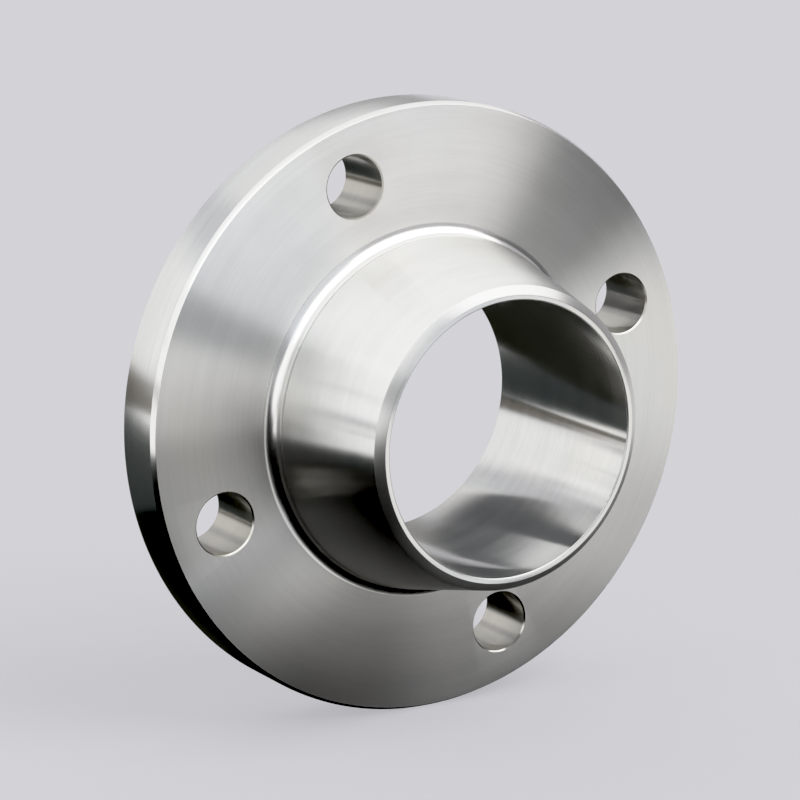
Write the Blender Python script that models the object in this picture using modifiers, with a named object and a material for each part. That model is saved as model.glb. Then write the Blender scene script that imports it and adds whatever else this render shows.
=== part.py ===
"""Raised-face weld neck pipe flange, nominal pipe size 3 inch (DN 80), class 150.

One stainless steel forging, turned all over and drilled: a round plate with a raised sealing
face on one side and, on the other, a conical neck whose end is bevelled for welding to a pipe.

The flange stands on its rim. Its axis lies along Y with the neck pointing to -Y and the raised
face to +Y. The origin is on the axis, half way along the flange. Blender units are metres.
"""

import math

import bpy
from mathutils import Matrix

MM = 0.001

# Plate
FLANGE_DIAMETER = 190.5
PLATE_THICKNESS = 22.3
RIM_CHAMFER_RADIAL = 0.9
RIM_CHAMFER_AXIAL = 1.8
REAR_RIM_CHAMFER = 3.6

# Raised sealing face
RAISED_FACE_DIAMETER = 127.0
RAISED_FACE_HEIGHT = 1.6

# Bolt holes
BOLT_CIRCLE_DIAMETER = 152.4
BOLT_HOLE_DIAMETER = 19.05
BOLT_HOLE_COUNT = 4
BOLT_HOLE_EDGE_BREAK = 0.45
FIRST_HOLE_FROM_TOP = math.radians(-20.1)

# Hub and neck, with heights measured from the rear of the plate
NECK_END_HEIGHT = 68.3
NECK_END_DIAMETER = 92.4
CONE_FOOT_DIAMETER = 110.1
CONE_FOOT_HEIGHT = 28.1
FILLET_FOOT_DIAMETER = 116.8
WELD_BEVEL_ANGLE = math.radians(37.5)
ROOT_FACE = 1.6

# Bore
BORE_DIAMETER = 84.0
BORE_EDGE_BREAK = 0.35

# Facets
BODY_SEGMENTS = 96
HOLE_SEGMENTS = 36
FILLET_SEGMENTS = 6
SHARP_EDGE = math.radians(12)

# How far a drill's shape runs past each face of the plate
DRILL_OVERRUN = 1.0

STEEL_COLOUR = (0.62, 0.62, 0.61, 1.0)
STEEL_ROUGHNESS = 0.3

OVERALL_LENGTH = RAISED_FACE_HEIGHT + NECK_END_HEIGHT
MID_HEIGHT = OVERALL_LENGTH / 2 - RAISED_FACE_HEIGHT


def clear_scene():
    for old in list(bpy.data.objects):
        bpy.data.objects.remove(old, do_unlink=True)


def new_collection(name, hidden=False):
    collection = bpy.data.collections.new(name)
    collection.hide_render = hidden
    bpy.context.scene.collection.children.link(collection)
    return collection


def stainless_steel():
    material = bpy.data.materials.new("stainless_steel")
    material.use_nodes = True
    shader = material.node_tree.nodes["Principled BSDF"]
    shader.inputs["Base Color"].default_value = STEEL_COLOUR
    shader.inputs["Metallic"].default_value = 1.0
    shader.inputs["Roughness"].default_value = STEEL_ROUGHNESS
    material.diffuse_color = STEEL_COLOUR
    return material


def profile_object(name, points, closed, segments, collection):
    """A profile of (radius, height) points in mm, turned about the object's Z axis."""
    mesh = bpy.data.meshes.new(name)
    vertices = [(radius * MM, 0, height * MM) for radius, height in points]
    edges = [(i, i + 1) for i in range(len(points) - 1)]
    if closed:
        edges.append((len(points) - 1, 0))
    mesh.from_pydata(vertices, edges, [])
    turned = bpy.data.objects.new(name, mesh)
    collection.objects.link(turned)
    screw = turned.modifiers.new("turn", "SCREW")
    screw.axis = "Z"
    screw.angle = math.tau
    screw.steps = segments
    screw.render_steps = segments
    screw.use_merge_vertices = True
    screw.merge_threshold = 0.00001
    return turned


def hub_fillet():
    """The concave radius between the plate and the cone, from the cone's foot down to the plate.

    It is an arc tangent to the plate that ends on the cone's foot. Its radius undercuts the cone
    slightly, which leaves the cone's foot as a crisp edge.
    """
    foot_radius = FILLET_FOOT_DIAMETER / 2
    rise = CONE_FOOT_HEIGHT - PLATE_THICKNESS
    run = foot_radius - CONE_FOOT_DIAMETER / 2
    arc_radius = (run**2 + rise**2) / (2 * rise)
    sweep = math.atan2(run, arc_radius - rise)
    points = []
    for step in range(FILLET_SEGMENTS, -1, -1):
        turn = sweep * step / FILLET_SEGMENTS
        radius = foot_radius - arc_radius * math.sin(turn)
        height = PLATE_THICKNESS + arc_radius * (1 - math.cos(turn))
        points.append((radius, height))
    return points


def flange_profile():
    """The closed section of the flange, down its outer side and back up the bore."""
    rim = FLANGE_DIAMETER / 2
    raised = RAISED_FACE_DIAMETER / 2
    bore = BORE_DIAMETER / 2
    neck_end = NECK_END_DIAMETER / 2
    root = bore + ROOT_FACE
    bevel_drop = (neck_end - root) * math.tan(WELD_BEVEL_ANGLE)
    neck = [(root, NECK_END_HEIGHT), (neck_end, NECK_END_HEIGHT - bevel_drop)]
    plate = [
        (rim - RIM_CHAMFER_RADIAL, PLATE_THICKNESS),
        (rim, PLATE_THICKNESS - RIM_CHAMFER_AXIAL),
        (rim, REAR_RIM_CHAMFER),
        (rim - REAR_RIM_CHAMFER, 0),
        (raised, 0),
        (raised, -RAISED_FACE_HEIGHT),
    ]
    through = [
        (bore + BORE_EDGE_BREAK, -RAISED_FACE_HEIGHT),
        (bore, -RAISED_FACE_HEIGHT + BORE_EDGE_BREAK),
        (bore, NECK_END_HEIGHT - BORE_EDGE_BREAK),
        (bore + BORE_EDGE_BREAK, NECK_END_HEIGHT),
    ]
    section = neck + hub_fillet() + plate + through
    return [(radius, height - MID_HEIGHT) for radius, height in section]


def drill_profile():
    """The drill with a countersink at each face that breaks the hole's edge."""
    hole = BOLT_HOLE_DIAMETER / 2
    flare = BOLT_HOLE_EDGE_BREAK + DRILL_OVERRUN
    top = PLATE_THICKNESS + DRILL_OVERRUN
    section = [
        (0, top),
        (hole + flare, top),
        (hole, top - flare),
        (hole, flare - DRILL_OVERRUN),
        (hole + flare, -DRILL_OVERRUN),
        (0, -DRILL_OVERRUN),
    ]
    return [(radius, height - MID_HEIGHT) for radius, height in section]


def lay_down():
    """Turns a shape about Z into one about Y, with its top to -Y and its own Y axis up."""
    return Matrix.Rotation(math.pi / 2, 4, "X")


def bolt_drills(collection):
    drills = []
    for number in range(BOLT_HOLE_COUNT):
        angle = FIRST_HOLE_FROM_TOP + math.tau * number / BOLT_HOLE_COUNT
        radius = BOLT_CIRCLE_DIAMETER / 2 * MM
        drill = profile_object(f"bolt_drill_{number + 1}", drill_profile(), False, HOLE_SEGMENTS, collection)
        place = Matrix.Translation((radius * math.sin(angle), radius * math.cos(angle), 0))
        drill.matrix_world = lay_down() @ place
        drill.hide_render = True
        drill.display_type = "WIRE"
        drills.append(drill)
    return drills


def apply_modifiers(part):
    bpy.context.view_layer.update()
    graph = bpy.context.evaluated_depsgraph_get()
    mesh = bpy.data.meshes.new_from_object(part.evaluated_get(graph))
    part.modifiers.clear()
    old = part.data
    part.data = mesh
    bpy.data.meshes.remove(old)
    mesh.name = part.name


def flange_forging(collection, drills):
    forging = profile_object("flange_forging", flange_profile(), True, BODY_SEGMENTS, collection)
    forging.matrix_world = lay_down()
    for drill in drills:
        cut = forging.modifiers.new(drill.name, "BOOLEAN")
        cut.operation = "DIFFERENCE"
        cut.solver = "EXACT"
        cut.object = drill
    apply_modifiers(forging)
    forging.data.materials.clear()
    forging.data.materials.append(stainless_steel())
    forging.data.shade_smooth()
    forging.data.set_sharp_from_angle(angle=SHARP_EDGE)


def main():
    clear_scene()
    parts = new_collection("weld_neck_flange")
    cutters = new_collection("cutters", hidden=True)
    flange_forging(parts, bolt_drills(cutters))


main()
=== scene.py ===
"""Studio picture of a raised-face weld neck pipe flange.

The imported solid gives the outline's size. This script replaces it with one finely turned mesh of
the same dimensions and gives each machined region its own turned-steel material.
Shapes are laid out in millimetres about the flange's axis and turned into metres at the end.
"""
import math

import bpy
from mathutils import Matrix, Vector


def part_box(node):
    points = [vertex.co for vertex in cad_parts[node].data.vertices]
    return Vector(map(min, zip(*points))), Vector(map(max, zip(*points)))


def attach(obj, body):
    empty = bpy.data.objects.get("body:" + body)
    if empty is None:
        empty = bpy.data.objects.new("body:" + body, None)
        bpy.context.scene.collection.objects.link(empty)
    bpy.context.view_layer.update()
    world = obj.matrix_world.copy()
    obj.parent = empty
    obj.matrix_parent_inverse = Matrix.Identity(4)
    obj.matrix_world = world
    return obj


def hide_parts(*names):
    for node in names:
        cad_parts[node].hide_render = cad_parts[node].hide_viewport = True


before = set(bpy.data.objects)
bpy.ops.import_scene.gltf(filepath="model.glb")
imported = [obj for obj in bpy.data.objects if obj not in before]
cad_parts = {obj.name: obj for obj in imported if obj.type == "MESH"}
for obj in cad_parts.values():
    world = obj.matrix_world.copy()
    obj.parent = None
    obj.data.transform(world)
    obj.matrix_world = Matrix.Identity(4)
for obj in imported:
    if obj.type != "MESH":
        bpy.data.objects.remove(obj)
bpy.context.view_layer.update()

MM = 0.001
CAD_NODE = "flange_forging"
LOW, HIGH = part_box(CAD_NODE)
FLANGE_DIAMETER = (HIGH.x - LOW.x) / MM
OVERALL_LENGTH = (HIGH.y - LOW.y) / MM
FLOOR_HEIGHT = LOW.z

# Plate and raised face (mm)
PLATE_THICKNESS = 22.3
RIM_CHAMFER_RADIAL = 0.9
RIM_CHAMFER_AXIAL = 1.8
REAR_RIM_CHAMFER = 3.6
RAISED_FACE_DIAMETER = 127.0
RAISED_FACE_HEIGHT = 1.6
SERRATION_PITCH = 0.8
SERRATION_DEPTH = 0.05

# Bolt holes (mm)
BOLT_CIRCLE_DIAMETER = 152.4
BOLT_HOLE_DIAMETER = 19.05
BOLT_HOLE_COUNT = 4
BOLT_HOLE_EDGE_BREAK = 0.45
FIRST_HOLE_FROM_TOP = math.radians(-20.1)
DRILL_OVERRUN = 1.0

# Hub, neck and bore (mm), with heights measured from the rear of the plate
NECK_END_HEIGHT = OVERALL_LENGTH - RAISED_FACE_HEIGHT
NECK_END_DIAMETER = 92.4
CONE_FOOT_DIAMETER = 110.1
CONE_FOOT_HEIGHT = 28.1
FILLET_FOOT_DIAMETER = 116.8
WELD_BEVEL_ANGLE = math.radians(37.5)
ROOT_FACE = 1.6
BORE_DIAMETER = 84.0
BORE_EDGE_BREAK = 0.35
MID_HEIGHT = OVERALL_LENGTH / 2 - RAISED_FACE_HEIGHT

# Mesh fineness
TURN_STEPS = 360
HOLE_STEPS = 96
FILLET_STEPS = 18
EDGE_ROUND = 0.12
EDGE_STEPS = 3
SHARP_EDGE = math.radians(14)
WELD_DISTANCE = 0.000001

# Telling the regions apart: closeness in height and radius (mm), and parts of a normal along Y
SAME_HEIGHT = 0.001
SAME_RADIUS = 0.02
FACES_ALONG = 0.9
FACES_MOSTLY_ALONG = 0.7
FACES_PARTLY_ALONG = 0.5

# Finish: the steel's colours, of which the drilled and bevel tones are darker copies of STEEL that
# paint shade on those surfaces, the turn of the highlights' spread away from the grooves, and the
# spacing of the tool's lines (per metre) and the depth of the fine ones (m)
STEEL = (0.66, 0.655, 0.64)
# painted shade: a darker, warmer copy of STEEL for the bolt holes' walls, standing in for the shade
# inside the holes
DRILLED_STEEL_PAINTED_SHADE = (0.44, 0.43, 0.40)
# painted shade: a darker copy of STEEL that tones down the weld bevel's reflections
BEVEL_STEEL_PAINTED_SHADE = (0.49, 0.487, 0.476)
ACROSS_THE_GROOVES = 0.25
FINE_LINES = 1000 / 0.9
BROAD_LINES = 150 / 0.9
LINE_DEPTH = 0.0015 * MM

# Floor, sky and view: linear tones, and where the curve of the view's whites bends
FLOOR_SIZE = 60.0
PAPER = 0.22
PAPER_GLOW = (0.454, 0.449, 0.476)
SKY = (0.651, 0.644, 0.679)
BLACK_LEVEL = 0.018
SHOULDER = ((0.68, 0.68), (0.8, 0.78), (0.9, 0.835), (1.0, 0.865))

# The one lamp: a wide, soft sun
KEY_STRENGTH = 1.2
KEY_WIDTH = math.radians(40)
KEY_TILT = (math.radians(35), math.radians(25), 0)

# Sheets on the floor: the height of one layer above the next (m)
SHEET_LIFT = 0.00005

# Tints of the panels
WARM = (1.1, 1.0, 0.85)
OLIVE = (1.0, 1.03, 0.88)
SLATE = (0.88, 1.0, 1.0)
COOL = (0.95, 1.0, 1.05)
COLD = (0.95, 0.98, 1.05)
FACE_TINT = (0.97, 0.99, 1.04)

# Panels that the plate's front face mirrors to the camera, each over one sector of the face:
# name, angles from the top (degrees), brightness
FACE_FLAG_DISTANCE = 0.12
FACE_FLAG_RADII = (0.035, 0.21)
FACE_FLAGS = (
    ("right_wedge", (30, 57), 0.14),
    ("left_streak", (-70, -61), 0.45),
    ("upper_left_light", (-61, -28), 1.0),
    ("lower_left_light", (-142, -114), 1.0),
    ("lower_left_shade", (-172, -148), 0.35),
)

# Corners (x, z) of a flag behind the bore and of one in front of the neck's left side,
# with the y that each stands at (m)
BORE_FLAG = (
    (-0.012, 0.045), (0.004, 0.03), (0.02, 0.012), (0.055, -0.012), (0.071, -0.006),
    (0.08, 0.03), (0.075, 0.045), (0.028, 0.062), (0.01, 0.11), (-0.012, 0.11),
)
BORE_FLAG_PLACE = 0.1
NECK_FLAG = ((-0.25, -0.094), (-0.03, -0.094), (-0.03, -0.047), (-0.25, -0.047))
NECK_FLAG_PLACE = -0.2

# Corners (azimuth, elevation) in degrees of a flag to the right, and its distance (m)
RIGHT_FLAG = ((34, -9), (66, 0), (68, 8), (52, 14))
RIGHT_FLAG_DISTANCE = 1.9

# The light disc over the first bolt hole: its corners, and its gap to the plate (mm)
VEIL_STEPS = 24
VEIL_GAP = 0.15

# Camera: the direction it looks from (degrees), its distance and the point it looks at (m)
CAMERA_AZIMUTH = -31.42
CAMERA_ELEVATION = 12.71
CAMERA_DISTANCE = 0.9911
CAMERA_AIM = Vector((-0.0120, 0.0087, 0.0052))
CAMERA_LENS = 146.5
CAMERA_SENSOR = 36


# ---------------------------------------------------------------- shape

def hub_fillet():
    """The arc from the cone's foot down to the plate. It undercuts the cone's foot a little."""
    foot_radius = FILLET_FOOT_DIAMETER / 2
    rise = CONE_FOOT_HEIGHT - PLATE_THICKNESS
    run = foot_radius - CONE_FOOT_DIAMETER / 2
    arc_radius = (run**2 + rise**2) / (2 * rise)
    sweep = math.atan2(run, arc_radius - rise)
    points = []
    for step in range(FILLET_STEPS, -1, -1):
        turn = sweep * step / FILLET_STEPS
        radius = foot_radius - arc_radius * math.sin(turn)
        height = PLATE_THICKNESS + arc_radius * (1 - math.cos(turn))
        points.append((radius, height))
    return points


def serrations(outer, inner, height):
    """The sealing face's circular grooves, from its outer edge to its inner one."""
    count = round((outer - inner) / SERRATION_PITCH)
    pitch = (outer - inner) / count
    points = []
    for groove in range(count):
        start = outer - pitch * groove
        for share, depth in ((0.1, 0), (0.35, 0.8), (0.55, 1), (0.75, 0.8)):
            points.append((start - pitch * share, height + SERRATION_DEPTH * depth))
    return points


def rounded(points, corners):
    """The closed outline with the named corners rounded by EDGE_ROUND."""
    result = []
    for index, point in enumerate(points):
        if index not in corners:
            result.append(point)
            continue
        here = Vector(point)
        before = Vector(points[index - 1]) - here
        after = Vector(points[(index + 1) % len(points)]) - here
        start = here + before.normalized() * EDGE_ROUND
        end = here + after.normalized() * EDGE_ROUND
        for step in range(EDGE_STEPS + 1):
            t = step / EDGE_STEPS
            curve = start * (1 - t) ** 2 + here * 2 * t * (1 - t) + end * t**2
            result.append(tuple(curve))
    return result


def flange_outline():
    """The closed section of the flange, down its outer side and back up the bore."""
    rim = FLANGE_DIAMETER / 2
    raised = RAISED_FACE_DIAMETER / 2
    bore = BORE_DIAMETER / 2
    neck_end = NECK_END_DIAMETER / 2
    root = bore + ROOT_FACE
    bevel_drop = (neck_end - root) * math.tan(WELD_BEVEL_ANGLE)
    neck = [(root, NECK_END_HEIGHT), (neck_end, NECK_END_HEIGHT - bevel_drop)]
    fillet = hub_fillet()
    plate = [
        (rim - RIM_CHAMFER_RADIAL, PLATE_THICKNESS),
        (rim, PLATE_THICKNESS - RIM_CHAMFER_AXIAL),
        (rim, REAR_RIM_CHAMFER),
        (rim - REAR_RIM_CHAMFER, 0),
        (raised, 0),
        (raised, -RAISED_FACE_HEIGHT),
    ]
    grooves = serrations(raised, bore + BORE_EDGE_BREAK, -RAISED_FACE_HEIGHT)
    through = [
        (bore + BORE_EDGE_BREAK, -RAISED_FACE_HEIGHT),
        (bore, -RAISED_FACE_HEIGHT + BORE_EDGE_BREAK),
        (bore, NECK_END_HEIGHT - BORE_EDGE_BREAK),
        (bore + BORE_EDGE_BREAK, NECK_END_HEIGHT),
    ]
    plain = neck + fillet + plate + grooves + through
    first_plate = len(neck) + len(fillet)
    first_through = first_plate + len(plate) + len(grooves)
    corners = {0, 1, 2}
    corners |= {first_plate + k for k in (0, 1, 2, 3, 5)}
    corners |= {first_through + k for k in (1, 2, 3)}
    outline = rounded(plain, corners)
    return [(radius, height - MID_HEIGHT) for radius, height in outline]


def drill_outline():
    """Half the section of a drill whose countersinks break the hole's edge on both sides."""
    hole = BOLT_HOLE_DIAMETER / 2
    flare = BOLT_HOLE_EDGE_BREAK + DRILL_OVERRUN
    top = PLATE_THICKNESS + DRILL_OVERRUN
    section = [
        (0, top),
        (hole + flare, top),
        (hole, top - flare),
        (hole, flare - DRILL_OVERRUN),
        (hole + flare, -DRILL_OVERRUN),
        (0, -DRILL_OVERRUN),
    ]
    return [(radius, height - MID_HEIGHT) for radius, height in section]


def turned(name, outline, closed, steps):
    """A mesh object of the outline turned about Y, with the outline's top at -Y."""
    mesh = bpy.data.meshes.new(name)
    vertices = [(radius * MM, 0, height * MM) for radius, height in outline]
    edges = [(i, i + 1) for i in range(len(outline) - 1)]
    if closed:
        edges.append((len(outline) - 1, 0))
    mesh.from_pydata(vertices, edges, [])
    turned_object = bpy.data.objects.new(name, mesh)
    bpy.context.scene.collection.objects.link(turned_object)
    screw = turned_object.modifiers.new("turn", "SCREW")
    screw.axis = "Z"
    screw.angle = math.tau
    screw.steps = steps
    screw.render_steps = steps
    screw.use_merge_vertices = True
    screw.merge_threshold = WELD_DISTANCE
    turned_object.matrix_world = Matrix.Rotation(math.pi / 2, 4, "X")
    return turned_object


def hole_centres():
    """Each bolt hole's centre, x and z in mm."""
    radius = BOLT_CIRCLE_DIAMETER / 2
    for number in range(BOLT_HOLE_COUNT):
        angle = FIRST_HOLE_FROM_TOP + math.tau * number / BOLT_HOLE_COUNT
        yield radius * math.sin(angle), radius * math.cos(angle)


def flange_mesh():
    """The turned flange with its bolt holes cut, as one plain mesh object."""
    flange = turned("flange", flange_outline(), True, TURN_STEPS)
    drills = []
    for number, (x, z) in enumerate(hole_centres()):
        drill = turned(f"drill_{number + 1}", drill_outline(), False, HOLE_STEPS)
        drill.matrix_world = drill.matrix_world @ Matrix.Translation((x * MM, z * MM, 0))
        drills.append(drill)
        cut = flange.modifiers.new(drill.name, "BOOLEAN")
        cut.operation = "DIFFERENCE"
        cut.solver = "EXACT"
        cut.object = drill
    bpy.context.view_layer.update()
    graph = bpy.context.evaluated_depsgraph_get()
    mesh = bpy.data.meshes.new_from_object(flange.evaluated_get(graph))
    mesh.transform(flange.matrix_world)
    for drill in drills:
        bpy.data.objects.remove(drill, do_unlink=True)
    bpy.data.objects.remove(flange, do_unlink=True)
    mesh.name = "flange"
    piece = bpy.data.objects.new("flange_turned", mesh)
    bpy.context.scene.collection.objects.link(piece)
    mesh.shade_smooth()
    mesh.set_sharp_from_angle(angle=SHARP_EDGE)
    return piece


# ---------------------------------------------------------------- regions

def in_bolt_hole(centre, normal):
    """Whether a face is on a bolt hole's wall or on the edge breaks at its ends."""
    if abs(normal.y) >= FACES_ALONG:
        return False
    reach = BOLT_HOLE_DIAMETER / 2 + 2 * BOLT_HOLE_EDGE_BREAK
    for x, z in hole_centres():
        if math.hypot(centre.x / MM - x, centre.z / MM - z) < reach:
            return True
    return False


def region_of(centre, normal):
    """The machined region that a face belongs to, from its place (m) and its normal."""
    radius = math.hypot(centre.x, centre.z) / MM
    height = MID_HEIGHT - centre.y / MM
    if in_bolt_hole(centre, normal):
        return "drilled"
    if radius < BORE_DIAMETER / 2 + SAME_RADIUS:
        return "bored"
    if height > NECK_END_HEIGHT - ROOT_FACE / 2 and normal.y < -FACES_ALONG:
        return "root"
    if PLATE_THICKNESS + SAME_HEIGHT < height < CONE_FOOT_HEIGHT:
        return "fillet"
    if height > PLATE_THICKNESS + SAME_HEIGHT:
        return "bevel" if normal.y < -FACES_PARTLY_ALONG else "neck"
    if height > PLATE_THICKNESS - SAME_HEIGHT:
        return "plate"
    if height < SERRATION_DEPTH - RAISED_FACE_HEIGHT + SAME_HEIGHT and normal.y > FACES_MOSTLY_ALONG:
        return "sealing"
    return "plate" if normal.y > FACES_ALONG else "rim"


def assign_regions(piece, materials):
    names = list(materials)
    piece.data.materials.clear()
    for name in names:
        piece.data.materials.append(materials[name])
    for polygon in piece.data.polygons:
        polygon.material_index = names.index(region_of(polygon.center, polygon.normal))


# ---------------------------------------------------------------- materials

# Sockets of the colour mixing node, whose names aren't unique
MIX_COLOUR_A = 6
MIX_COLOUR_B = 7
MIX_COLOUR_OUT = 2


class Finish:
    """A node material under construction, with short ways to add its nodes."""

    def __init__(self, name):
        self.material = bpy.data.materials.new(name)
        self.material.use_nodes = True
        self.tree = self.material.node_tree
        self.tree.nodes.clear()

    def node(self, kind, inputs=None, **settings):
        made = self.tree.nodes.new(kind)
        for name, value in settings.items():
            setattr(made, name, value)
        for name, value in (inputs or {}).items():
            if isinstance(value, bpy.types.NodeSocket):
                self.tree.links.new(value, made.inputs[name])
            else:
                made.inputs[name].default_value = value
        return made

    def maths(self, operation, *values):
        numbered = dict(enumerate(values))
        return self.node("ShaderNodeMath", numbered, operation=operation).outputs[0]

    def vector(self, operation, *values, output=0):
        numbered = dict(enumerate(values))
        return self.node("ShaderNodeVectorMath", numbered, operation=operation).outputs[output]

    def noise(self, vector, scale, detail=3.0, roughness=0.55):
        inputs = {"Vector": vector, "Scale": scale, "Detail": detail, "Roughness": roughness}
        return self.node("ShaderNodeTexNoise", inputs).outputs["Fac"]

    def spread(self, value, low, high):
        """The middle of a noise, 0.3 to 0.7, stretched to run from low to high."""
        inputs = {"Value": value, "From Min": 0.3, "From Max": 0.7, "To Min": low, "To Max": high}
        return self.node("ShaderNodeMapRange", inputs).outputs[0]


def tool_lines(finish, place, across, per_metre, turns):
    """Noise drawn out round the axis: the lines that a turning tool leaves."""
    outward = finish.vector("NORMALIZE", finish.vector("MULTIPLY", place, (1, 0, 1)))
    around = finish.vector("MULTIPLY", outward, (turns, turns, turns))
    step = finish.maths("MULTIPLY", across, per_metre)
    lifted = finish.node("ShaderNodeCombineXYZ", {"Y": step}).outputs[0]
    drawn_out = finish.vector("ADD", around, lifted)
    return finish.noise(drawn_out, scale=1.0, detail=4.0, roughness=0.6)


def uneven_colour(finish, place, tone, shade):
    """The steel's tone, wandering a little between cooler and warmer, times the shade."""
    red, green, blue = tone
    cloud = finish.noise(place, scale=14.0, detail=2.0)
    colour = finish.node("ShaderNodeMix", {
        "Factor": finish.spread(cloud, 0.0, 1.0),
        MIX_COLOUR_A: (red * 0.985, green, blue * 1.015, 1),
        MIX_COLOUR_B: (red * 1.01, green, blue * 0.975, 1),
    }, data_type="RGBA").outputs[MIX_COLOUR_OUT]
    inputs = {0: colour, "Scale": shade}
    return finish.node("ShaderNodeVectorMath", inputs, operation="SCALE").outputs[0]


def turned_steel(name, tone, roughness, anisotropy, flat):
    """Stainless steel cut on a lathe, faced flat or turned round, with its tool lines."""
    finish = Finish(name)
    place = finish.node("ShaderNodeTexCoord").outputs["Object"]
    parts = finish.node("ShaderNodeSeparateXYZ", {0: place}).outputs
    radial = finish.vector("MULTIPLY", place, (1, 0, 1))
    across = finish.vector("LENGTH", radial, output="Value") if flat else parts["Y"]
    fine = tool_lines(finish, place, across, FINE_LINES, turns=2.0)
    broad = tool_lines(finish, place, across, BROAD_LINES, turns=1.2)
    stain = finish.noise(place, scale=45.0, detail=5.0, roughness=0.6)
    fine_shade = finish.spread(fine, 0.97, 1.02)
    broad_shade = finish.spread(broad, 0.96, 1.02)
    lines = finish.maths("MULTIPLY", fine_shade, broad_shade)
    shade = finish.maths("MULTIPLY", lines, finish.spread(stain, 0.97, 1.02))
    wear = finish.maths("ADD", finish.spread(broad, -0.01, 0.01), finish.spread(stain, -0.01, 0.01))
    bump = finish.node("ShaderNodeBump", {"Height": fine, "Distance": LINE_DEPTH})
    source = place if flat else finish.node("ShaderNodeNewGeometry").outputs["Normal"]
    shader = finish.node("ShaderNodeBsdfPrincipled", {
        "Base Color": uneven_colour(finish, place, tone, shade),
        "Metallic": 1.0,
        "Roughness": finish.maths("ADD", wear, roughness),
        "Anisotropic": anisotropy,
        "Anisotropic Rotation": ACROSS_THE_GROOVES,
        "Normal": bump.outputs["Normal"],
        "Tangent": finish.vector("CROSS_PRODUCT", source, (0, 1, 0)),
    })
    finish.node("ShaderNodeOutputMaterial", {"Surface": shader.outputs["BSDF"]})
    return finish.material


def flange_materials():
    """One finish for each region: name, tone, roughness, anisotropy, whether it is faced flat."""
    return {
        "plate": turned_steel("turned_plate", STEEL, 0.3, 1.0, True),
        "rim": turned_steel("turned_rim", STEEL, 0.2, 0.8, False),
        "neck": turned_steel("turned_neck", STEEL, 0.24, 1.0, False),
        "fillet": turned_steel("turned_fillet", STEEL, 0.22, 0.6, False),
        # painted shade: the weld bevel takes the darker copy of the steel's tone
        "bevel": turned_steel("weld_bevel_shaded", BEVEL_STEEL_PAINTED_SHADE, 0.34, 0.7, False),
        "root": turned_steel("root_face", STEEL, 0.2, 0.6, True),
        "bored": turned_steel("bored_steel", STEEL, 0.15, 0.9, False),
        # painted shade: the bolt holes take the darker steel tone in place of the shade inside them
        "drilled": turned_steel("drilled_steel_shaded", DRILLED_STEEL_PAINTED_SHADE, 0.24, 0.7, False),
        "sealing": turned_steel("serrated_face", STEEL, 0.24, 0.8, True),
    }


# ---------------------------------------------------------------- studio

def paper_floor():
    """A wide sheet of pale paper, lit from below, so that shadows on it are light."""
    bpy.ops.mesh.primitive_plane_add(size=FLOOR_SIZE, location=(0, 0, FLOOR_HEIGHT))
    plane = bpy.context.object
    plane.name = "studio_floor"
    finish = Finish("floor_paper")
    place = finish.node("ShaderNodeTexCoord").outputs["Object"]
    grain = finish.spread(finish.noise(place, scale=900.0), 0.994, 1.006)
    cloud = finish.spread(finish.noise(place, scale=3.0, detail=2.0), 0.995, 1.005)
    mottle = finish.maths("MULTIPLY", grain, cloud)
    grey = finish.maths("MULTIPLY", mottle, PAPER)
    tone = finish.node("ShaderNodeCombineColor", {"Red": grey, "Green": grey, "Blue": grey})
    shader = finish.node("ShaderNodeBsdfPrincipled", {
        "Base Color": tone.outputs[0],
        "Roughness": 0.95,
        "Specular IOR Level": 0.0,
        "Emission Color": (*PAPER_GLOW, 1),
        "Emission Strength": 1.0,
    })
    finish.node("ShaderNodeOutputMaterial", {"Surface": shader.outputs["BSDF"]})
    finish.material.cycles.emission_sampling = "NONE"
    plane.data.materials.append(finish.material)
    plane.visible_glossy = False


def sky():
    """Even light from all round, which is also what shows past the floor's far edge."""
    world = bpy.data.worlds.new("studio_world")
    world.use_nodes = True
    background = world.node_tree.nodes["Background"]
    background.inputs["Color"].default_value = (*SKY, 1)
    background.inputs["Strength"].default_value = 1.0
    bpy.context.scene.world = world


def toward(azimuth, elevation):
    """The direction at an azimuth, from -Y toward +X, and an elevation, in degrees."""
    a = math.radians(azimuth)
    e = math.radians(elevation)
    return Vector((math.sin(a) * math.cos(e), -math.cos(a) * math.cos(e), math.sin(e)))


def only_reflected(panel):
    """Hides a panel from all but glossy rays: it is seen in the metal and nowhere else."""
    panel.visible_camera = False
    panel.visible_diffuse = False
    panel.visible_shadow = False
    panel.visible_transmission = False


def glow(name, brightness, tint, softness=0.0):
    """A panel's light, fading out over softness of its half width towards its edges."""
    finish = Finish(name)
    light = finish.node("ShaderNodeEmission", {"Color": (*tint, 1), "Strength": brightness})
    surface = light.outputs[0]
    if softness:
        place = finish.node("ShaderNodeTexCoord").outputs["Object"]
        parts = finish.node("ShaderNodeSeparateXYZ", {0: place}).outputs
        inside = 1.0
        for axis in ("X", "Y"):
            reach = finish.maths("MULTIPLY", finish.maths("ABSOLUTE", parts[axis]), 2.0)
            inputs = {"Value": reach, "From Min": 1.0, "From Max": 1.0 - softness}
            fade = finish.node("ShaderNodeMapRange", inputs, interpolation_type="SMOOTHSTEP")
            inside = finish.maths("MULTIPLY", fade.outputs[0], inside)
        clear = finish.node("ShaderNodeBsdfTransparent").outputs[0]
        mixed = finish.node("ShaderNodeMixShader", {0: inside, 1: clear, 2: surface})
        surface = mixed.outputs[0]
    finish.node("ShaderNodeOutputMaterial", {"Surface": surface})
    return finish.material


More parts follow.
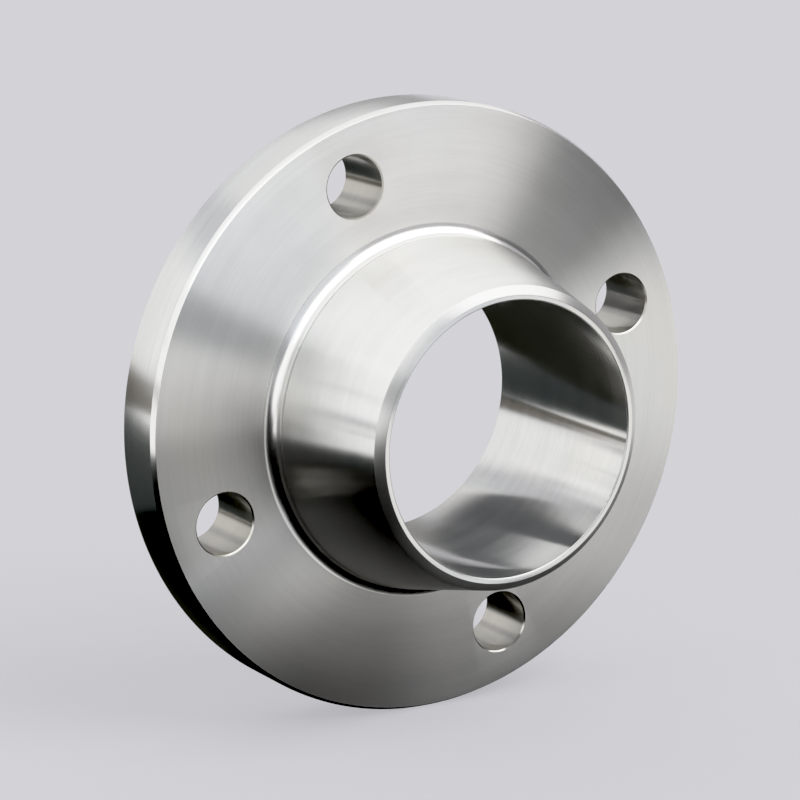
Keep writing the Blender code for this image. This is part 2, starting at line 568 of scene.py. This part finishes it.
def card(name, azimuth, elevation, distance, size, brightness, tint=(1, 1, 1), softness=0.3):
    """A panel facing the flange, size (width, height) in metres, that only metal shows."""
    outward = toward(azimuth, elevation)
    bpy.ops.mesh.primitive_plane_add(size=1)
    panel = bpy.context.object
    panel.name = name
    panel.scale = (size[0], size[1], 1)
    panel.location = outward * distance
    panel.rotation_euler = outward.to_track_quat("Z", "Y").to_euler()
    panel.data.materials.append(glow(name, brightness, tint, softness))
    only_reflected(panel)
    return panel


def overhead(name, y, height, size, brightness):
    """A card that faces straight down, shifted along Y."""
    card(name, 0, 90, height, size, brightness, softness=0.1).location.y = y


def sheet(name, x, y, brightness, tint=(1, 1, 1), softness=0.1, layer=1, turn=0):
    """A panel lying on the floor over x[0] to x[1] and y[0] to y[1], above lower layers.

    turn swings its two directions round the flange, in degrees.
    """
    bpy.ops.mesh.primitive_plane_add(size=1)
    panel = bpy.context.object
    panel.name = name
    panel.scale = (x[1] - x[0], y[1] - y[0], 1)
    swing = Matrix.Rotation(math.radians(turn), 4, "Z")
    height = FLOOR_HEIGHT + layer * SHEET_LIFT
    panel.location = swing @ Vector(((x[0] + x[1]) / 2, (y[0] + y[1]) / 2, height))
    panel.rotation_euler = swing.to_euler()
    panel.data.materials.append(glow(name, brightness, tint, softness))
    only_reflected(panel)


def flag(name, corners, brightness, tint=(1, 1, 1)):
    """A panel with its corners at these places."""
    mesh = bpy.data.meshes.new(name)
    mesh.from_pydata(corners, [], [list(range(len(corners)))])
    panel = bpy.data.objects.new(name, mesh)
    bpy.context.scene.collection.objects.link(panel)
    mesh.materials.append(glow(name, brightness, tint))
    only_reflected(panel)


def soft_key():
    light = bpy.data.lights.new("soft_key", "SUN")
    light.energy = KEY_STRENGTH
    light.angle = KEY_WIDTH
    lamp = bpy.data.objects.new("soft_key", light)
    lamp.rotation_euler = KEY_TILT
    lamp.visible_glossy = False
    bpy.context.scene.collection.objects.link(lamp)


def reflected_floor():
    """What the metal shows of the floor: dark boards under the flange and pale paper round them."""
    sheet("left_paper", (-3.0, -0.3), (-1.0, 0.75), 1.45, softness=0.02, layer=1)
    sheet("back_board", (-4.0, 0.4), (0.7, 5.0), 0.15, WARM, softness=0.02, layer=2)
    sheet("slate_board", (-0.42, 0.16), (-0.42, 1.6), 0.07, SLATE, softness=0.02, layer=3)
    sheet("front_board", (-0.75, -0.07), (-1.6, -0.22), 0.0, layer=3.5)
    sheet("right_paper", (-0.03, 1.5), (-1.3, 0.5), 1.15, softness=0.05, layer=4)
    sheet("front_paper", (-0.09, 0.05), (-1.3, -0.24), 1.15, softness=0.1, layer=4.5)
    sheet("right_shade", (0.02, 0.42), (-0.24, 0.36), 0.06, COOL, softness=1.0, layer=5)
    sheet("black_board", (-0.36, 0.24), (-0.1, 0.225), 0.0, softness=0.02, layer=6, turn=33)
    sheet("olive_board", (-0.02, 0.24), (0.08, 0.222), 0.035, OLIVE, softness=0.02, layer=7, turn=33)
    sheet("near_paper", (-0.03, 0.09), (-0.18, -0.07), 1.5, softness=0.4, layer=7)


def soft_boxes():
    """The lights that the metal shows above the floor: two overhead, the rest round the flange."""
    overhead("front_bank", -1.0, 1.3, (4.6, 2.2), 3.0)
    overhead("back_bank", 0.7, 1.35, (4.6, 1.8), 1.3)
    card("left_bank", -109, 22, 2.2, (3.4, 1.6), 1.5)
    card("left_gap", -116, -1, 1.9, (2.0, 0.2), 1.3, softness=0.4)
    card("left_bar", -116, 17, 1.9, (2.0, 0.06), 0.8, softness=0.4)
    card("front_left_bank", -56, 16, 2.3, (2.1, 1.8), 1.9)
    card("back_fill", 172, 32, 1.9, (1.5, 0.5), 1.1)
    card("back_left_panel", -155, 11.5, 1.85, (1.2, 0.8), 1.15, softness=0.05)
    card("rim_shade", 153, 13, 1.85, (0.4, 0.5), 0.35)
    card("back_streak", -160, 28, 1.8, (1.0, 0.1), 0.9, COLD)


def view_direction():
    """From the point that the camera looks at, toward the camera."""
    return toward(CAMERA_AZIMUTH, CAMERA_ELEVATION)


def camera_place():
    return CAMERA_AIM + view_direction() * CAMERA_DISTANCE


def mirrored_in_face(angle, radius):
    """The place in front of the plate that its face mirrors to the camera at this point of it."""
    turn = math.radians(angle)
    front = (MID_HEIGHT - PLATE_THICKNESS) * MM
    point = Vector((math.sin(turn) * radius, front, math.cos(turn) * radius))
    ray = point - camera_place()
    ray.y = -ray.y
    return point - ray * (FACE_FLAG_DISTANCE / ray.y)


def face_flags():
    for name, angles, brightness in FACE_FLAGS:
        near, far = FACE_FLAG_RADII
        first, last = angles
        ends = ((first, near), (first, far), (last, far), (last, near))
        corners = [mirrored_in_face(angle, radius) for angle, radius in ends]
        flag(name, corners, brightness, FACE_TINT)


def hole_veil():
    """A light disc over the first bolt hole, to keep its dark mirror image off the neck."""
    x, z = next(hole_centres())
    radius = BOLT_HOLE_DIAMETER / 2 + BOLT_HOLE_EDGE_BREAK
    front = MID_HEIGHT - PLATE_THICKNESS - VEIL_GAP
    corners = []
    for number in range(VEIL_STEPS):
        turn = math.tau * number / VEIL_STEPS
        place = (x + radius * math.sin(turn), front, z + radius * math.cos(turn))
        corners.append(Vector(place) * MM)
    flag("hole_veil", corners, 1.1)


def flags():
    """Panels cut to the shape of one reflection each."""
    flag("bore_flag", [(x, BORE_FLAG_PLACE, z) for x, z in BORE_FLAG], 0.14, COLD)
    flag("neck_flag", [(x, NECK_FLAG_PLACE, z) for x, z in NECK_FLAG], 0.0)
    flag("right_flag", [toward(*corner) * RIGHT_FLAG_DISTANCE for corner in RIGHT_FLAG], 0.01)
    face_flags()
    hole_veil()


def camera():
    data = bpy.data.cameras.new("camera")
    data.lens = CAMERA_LENS
    data.sensor_width = CAMERA_SENSOR
    data.clip_start = 0.05
    data.clip_end = 200
    eye = bpy.data.objects.new("camera", data)
    eye.location = camera_place()
    eye.rotation_euler = (-view_direction()).to_track_quat("-Z", "Y").to_euler()
    bpy.context.scene.collection.objects.link(eye)
    bpy.context.scene.camera = eye


def grade():
    """Plain tones with slightly deeper blacks and softer whites, as a product picture has."""
    view = bpy.context.scene.view_settings
    view.view_transform = "Standard"
    view.use_curve_mapping = True
    view.curve_mapping.black_level = (BLACK_LEVEL, BLACK_LEVEL, BLACK_LEVEL)
    combined = view.curve_mapping.curves[3].points
    for tone, shown in SHOULDER[:-1]:
        combined.new(tone, shown)
    combined[-1].location = SHOULDER[-1]
    for point in combined:
        point.handle_type = "VECTOR"
    view.curve_mapping.update()


def studio():
    paper_floor()
    sky()
    soft_key()
    reflected_floor()
    soft_boxes()
    flags()
    camera()
    grade()


def main():
    piece = flange_mesh()
    assign_regions(piece, flange_materials())
    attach(piece, "root")
    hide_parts(CAD_NODE)
    studio()


main()
